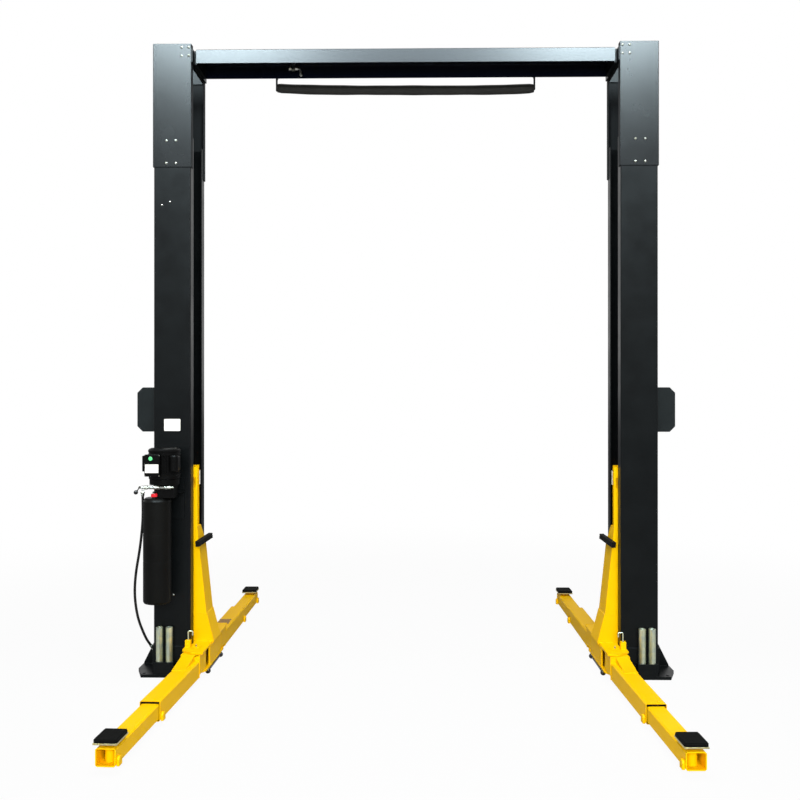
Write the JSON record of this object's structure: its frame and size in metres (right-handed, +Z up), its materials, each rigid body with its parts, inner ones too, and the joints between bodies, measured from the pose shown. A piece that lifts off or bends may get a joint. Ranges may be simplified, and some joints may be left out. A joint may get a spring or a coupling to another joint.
{
  "type": "two post car lift",
  "caption": "Overhead frame of twin steel columns whose joined carriages raise a vehicle on swinging telescopic arms, with a power unit on the left column.",
  "frame": {"origin": "on the floor, in the middle of the bay, on the centre line of the columns", "axes": "+X from the left column to the right one, +Y from the front of the lift to its back, +Z up"},
  "size_m": [3.464, 3.3511, 4],
  "materials": {
    "column_black": "satin charcoal powder coat",
    "arm_yellow": "gloss yellow paint",
    "zinc_steel": "bright zinc plate",
    "unit_black": "semi gloss black paint",
    "pad_rubber": "moulded ribbed rubber",
    "pad_steel": "zinc plated steel",
    "hose_rubber": "smooth rubber cover",
    "foam_black": "soft foam cover",
    "cap_red": "red moulded cap",
    "white_plastic": "low friction plastic"
  },
  "bodies": {
    "frame": {"columns": "column_black", "base_plates": "column_black", "foot_brackets": "column_black", "height_adapters": "zinc_steel", "lock_covers": "column_black", "height_extensions": "column_black", "overhead_beam": "column_black", "beam_brackets": "column_black", "bar_pivots": "column_black", "motor": "unit_black", "control_box": "unit_black", "pump_block": "unit_black", "oil_tank": "unit_black", "unit_bracket": "column_black", "filler_cap": "cap_red", "hydraulic_fittings": "zinc_steel", "pressure_hose": "hose_rubber"},
    "left_carriage_body": {"left_carriage": "arm_yellow", "left_slider_blocks": "white_plastic", "left_door_bumper": "pad_rubber", "left_arm_pins": "arm_yellow", "left_knob_rod": "column_black"},
    "right_carriage_body": {"right_carriage": "arm_yellow", "right_slider_blocks": "white_plastic", "right_door_bumper": "pad_rubber", "right_arm_pins": "arm_yellow", "right_knob_rod": "column_black"},
    "left_front_arm_body": {"left_front_arm": "arm_yellow"},
    "left_front_inner_arm_body": {"left_front_inner_arm": "arm_yellow"},
    "left_front_pad_body": {"left_front_pad_plate": "pad_steel", "left_front_pad": "pad_rubber"},
    "left_front_restraint_body": {"left_front_restraint": "zinc_steel"},
    "left_rear_arm_body": {"left_rear_arm": "arm_yellow"},
    "left_rear_inner_arm_body": {"left_rear_inner_arm": "arm_yellow"},
    "left_rear_pad_body": {"left_rear_pad_plate": "pad_steel", "left_rear_pad": "pad_rubber"},
    "left_rear_restraint_body": {"left_rear_restraint": "zinc_steel"},
    "right_front_arm_body": {"right_front_arm": "arm_yellow"},
    "right_front_inner_arm_body": {"right_front_inner_arm": "arm_yellow"},
    "right_front_pad_body": {"right_front_pad_plate": "pad_steel", "right_front_pad": "pad_rubber"},
    "right_front_restraint_body": {"right_front_restraint": "zinc_steel"},
    "right_rear_arm_body": {"right_rear_arm": "arm_yellow"},
    "right_rear_inner_arm_body": {"right_rear_inner_arm": "arm_yellow"},
    "right_rear_pad_body": {"right_rear_pad_plate": "pad_steel", "right_rear_pad": "pad_rubber"},
    "right_rear_restraint_body": {"right_rear_restraint": "zinc_steel"},
    "safety_bar_body": {"safety_bar": "column_black", "safety_bar_padding": "foam_black"},
    "lowering_lever_body": {"lowering_lever": "unit_black"}
  },
  "joints": [
    {"name": "left_lift", "type": "slide", "parent": "frame", "child": "left_carriage_body", "axis": [0, 0, 1], "range_m": [0, 1.8]},
    {"name": "right_lift", "type": "slide", "parent": "frame", "child": "right_carriage_body", "axis": [0, 0, 1], "range_m": [0, 1.8]},
    {"name": "left_front_swing", "type": "hinge", "parent": "left_carriage_body", "child": "left_front_arm_body", "pos_m": [-1.31, -0.23, 0.1], "axis": [0, 0, 1], "range_deg": [-10, 95]},
    {"name": "left_front_extend", "type": "slide", "parent": "left_front_arm_body", "child": "left_front_inner_arm_body", "axis": [-0.0454, -0.999, 0], "range_m": [-0.4, 0.03]},
    {"name": "left_front_pad_turn", "type": "hinge", "parent": "left_front_inner_arm_body", "child": "left_front_pad_body", "pos_m": [-1.37215, -1.59859, 0.15], "axis": [0, 0, 1], "continuous": true},
    {"name": "left_front_restraint_pull", "type": "slide", "parent": "left_carriage_body", "child": "left_front_restraint_body", "axis": [0, 0, 1], "range_m": [0, 0.02]},
    {"name": "left_rear_swing", "type": "hinge", "parent": "left_carriage_body", "child": "left_rear_arm_body", "pos_m": [-1.31, 0.23, 0.1], "axis": [0, 0, -1], "range_deg": [-10, 95]},
    {"name": "left_rear_extend", "type": "slide", "parent": "left_rear_arm_body", "child": "left_rear_inner_arm_body", "axis": [0, 1, 0], "range_m": [-0.4, 0.03]},
    {"name": "left_rear_pad_turn", "type": "hinge", "parent": "left_rear_inner_arm_body", "child": "left_rear_pad_body", "pos_m": [-1.31, 1.6, 0.15], "axis": [0, 0, 1], "continuous": true},
    {"name": "left_rear_restraint_pull", "type": "slide", "parent": "left_carriage_body", "child": "left_rear_restraint_body", "axis": [0, 0, 1], "range_m": [0, 0.02]},
    {"name": "right_front_swing", "type": "hinge", "parent": "right_carriage_body", "child": "right_front_arm_body", "pos_m": [1.31, -0.23, 0.1], "axis": [0, 0, 1], "range_deg": [-95, 10]},
    {"name": "right_front_extend", "type": "slide", "parent": "right_front_arm_body", "child": "right_front_inner_arm_body", "axis": [0.0297, -0.9996, 0], "range_m": [-0.4, 0.03]},
    {"name": "right_front_pad_turn", "type": "hinge", "parent": "right_front_inner_arm_body", "child": "right_front_pad_body", "pos_m": [1.35064, -1.5994, 0.15], "axis": [0, 0, 1], "continuous": true},
    {"name": "right_front_restraint_pull", "type": "slide", "parent": "right_carriage_body", "child": "right_front_restraint_body", "axis": [0, 0, 1], "range_m": [0, 0.02]},
    {"name": "right_rear_swing", "type": "hinge", "parent": "right_carriage_body", "child": "right_rear_arm_body", "pos_m": [1.31, 0.23, 0.1], "axis": [0, 0, -1], "range_deg": [-95, 10]},
    {"name": "right_rear_extend", "type": "slide", "parent": "right_rear_arm_body", "child": "right_rear_inner_arm_body", "axis": [0, 1, 0], "range_m": [-0.4, 0.03]},
    {"name": "right_rear_pad_turn", "type": "hinge", "parent": "right_rear_inner_arm_body", "child": "right_rear_pad_body", "pos_m": [1.31, 1.6, 0.15], "axis": [0, 0, 1], "continuous": true},
    {"name": "right_rear_restraint_pull", "type": "slide", "parent": "right_carriage_body", "child": "right_rear_restraint_body", "axis": [0, 0, 1], "range_m": [0, 0.02]},
    {"name": "safety_bar_swing", "type": "hinge", "parent": "frame", "child": "safety_bar_body", "pos_m": [0, 0.126, 3.897], "axis": [1, 0, 0], "range_deg": [-8, 60]},
    {"name": "lowering_lever_press", "type": "hinge", "parent": "frame", "child": "lowering_lever_body", "pos_m": [-1.621, -0.378, 1.207], "axis": [0, 1, 0], "range_deg": [-25, 0], "stiffness_Nm_per_rad": 0.6, "springref_deg": 17.19}
  ],
  "couplings": [
    {"joint": "right_lift", "follows": "left_lift", "ratio": 1}
  ]
}
